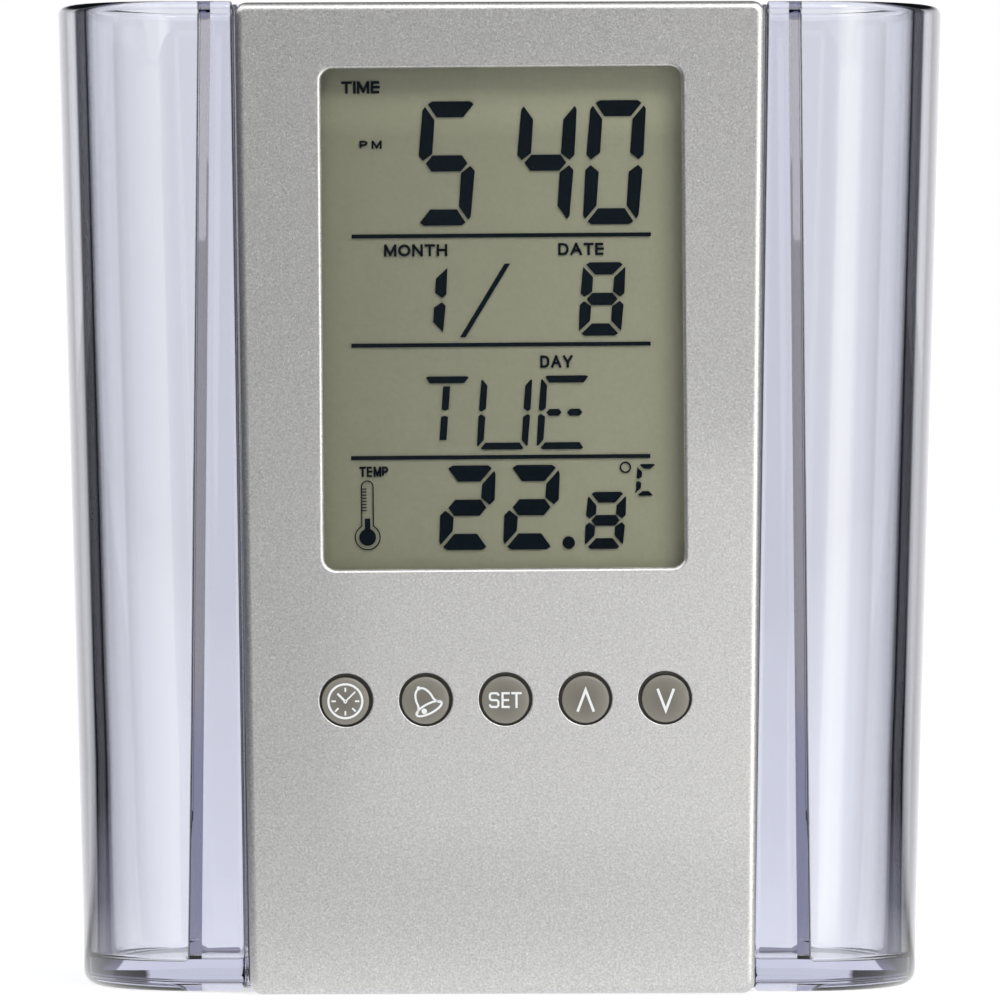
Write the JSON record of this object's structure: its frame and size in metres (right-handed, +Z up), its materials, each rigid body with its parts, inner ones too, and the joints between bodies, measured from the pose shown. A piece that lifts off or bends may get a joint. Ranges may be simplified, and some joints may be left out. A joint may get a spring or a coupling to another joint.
{
  "type": "pen holder clock",
  "caption": "Clear oval pen cup with a silver digital clock and thermometer module set in its front wall, with push buttons under the display and a battery door below.",
  "frame": {"origin": "bottom centre of the whole object's box, on the surface that it stands on", "axes": "+Z up, -Y towards the person who reads the clock, +X to that person's right"},
  "size_m": [0.0906, 0.0552, 0.1],
  "materials": {
    "clear_plastic": "clear polished polystyrene",
    "clear_lens": "clear polished acrylic",
    "silver_paint": "satin silver paint with fine flake on moulded plastic",
    "dark_plastic": "fine moulded texture",
    "black_plastic": "plain moulded",
    "display_cell": "grey-green liquid crystal field",
    "reflector_foil": "matt reflector film",
    "striped_rubber": "striped conductive rubber",
    "silicone_mat": "matt silicone",
    "button_grey": "semi-gloss grey with white printed signs",
    "carbon_rubber": "matt carbon rubber",
    "circuit_board": "green solder mask",
    "black_resin": "cured resin drop",
    "epoxy_bead": "dipped epoxy",
    "bright_steel": "nickel plated steel",
    "contact_steel": "nickel plated spring steel",
    "sounder_brass": "bare brass with a pale ceramic face"
  },
  "bodies": {
    "holder": {"pen_cup": "clear_plastic", "front_cover": "silver_paint", "rear_cover": "dark_plastic", "lcd_window": "clear_lens", "lcd_glass": "display_cell", "lcd_reflector": "reflector_foil", "lcd_frame": "black_plastic", "zebra_strip_upper": "striped_rubber", "zebra_strip_lower": "striped_rubber", "keypad_mat": "silicone_mat", "main_pcb": "circuit_board", "chip_blob": "black_resin", "quartz_crystal": "bright_steel", "thermistor": "epoxy_bead", "alarm_disc": "sounder_brass", "battery_cell_1": "bright_steel", "battery_cell_2": "bright_steel", "contact_bridge": "contact_steel", "contact_positive": "contact_steel", "contact_negative": "contact_steel", "case_screw_1": "bright_steel", "case_screw_2": "bright_steel", "case_screw_3": "bright_steel", "case_screw_4": "bright_steel", "pcb_screw_1": "bright_steel", "pcb_screw_2": "bright_steel", "pcb_screw_3": "bright_steel", "pcb_screw_4": "bright_steel"},
    "clock_key": {"clock_button": "button_grey", "clock_pill": "carbon_rubber"},
    "alarm_key": {"alarm_button": "button_grey", "alarm_pill": "carbon_rubber"},
    "set_key": {"set_button": "button_grey", "set_pill": "carbon_rubber"},
    "up_key": {"up_button": "button_grey", "up_pill": "carbon_rubber"},
    "down_key": {"down_button": "button_grey", "down_pill": "carbon_rubber"},
    "door": {"battery_door": "dark_plastic"}
  },
  "joints": [
    {"name": "clock_press", "type": "slide", "parent": "holder", "child": "clock_key", "axis": [0, 1, 0], "range_m": [0, 0.0007], "stiffness_N_per_m": 400},
    {"name": "alarm_press", "type": "slide", "parent": "holder", "child": "alarm_key", "axis": [0, 1, 0], "range_m": [0, 0.0007], "stiffness_N_per_m": 400},
    {"name": "set_press", "type": "slide", "parent": "holder", "child": "set_key", "axis": [0, 1, 0], "range_m": [0, 0.0007], "stiffness_N_per_m": 400},
    {"name": "up_press", "type": "slide", "parent": "holder", "child": "up_key", "axis": [0, 1, 0], "range_m": [0, 0.0007], "stiffness_N_per_m": 400},
    {"name": "down_press", "type": "slide", "parent": "holder", "child": "down_key", "axis": [0, 1, 0], "range_m": [0, 0.0007], "stiffness_N_per_m": 400},
    {"name": "door_hinge", "type": "hinge", "parent": "holder", "child": "door", "pos_m": [0, -0.01073, 0.0013], "axis": [1, 0, 0], "range_deg": [0, 90]}
  ]
}
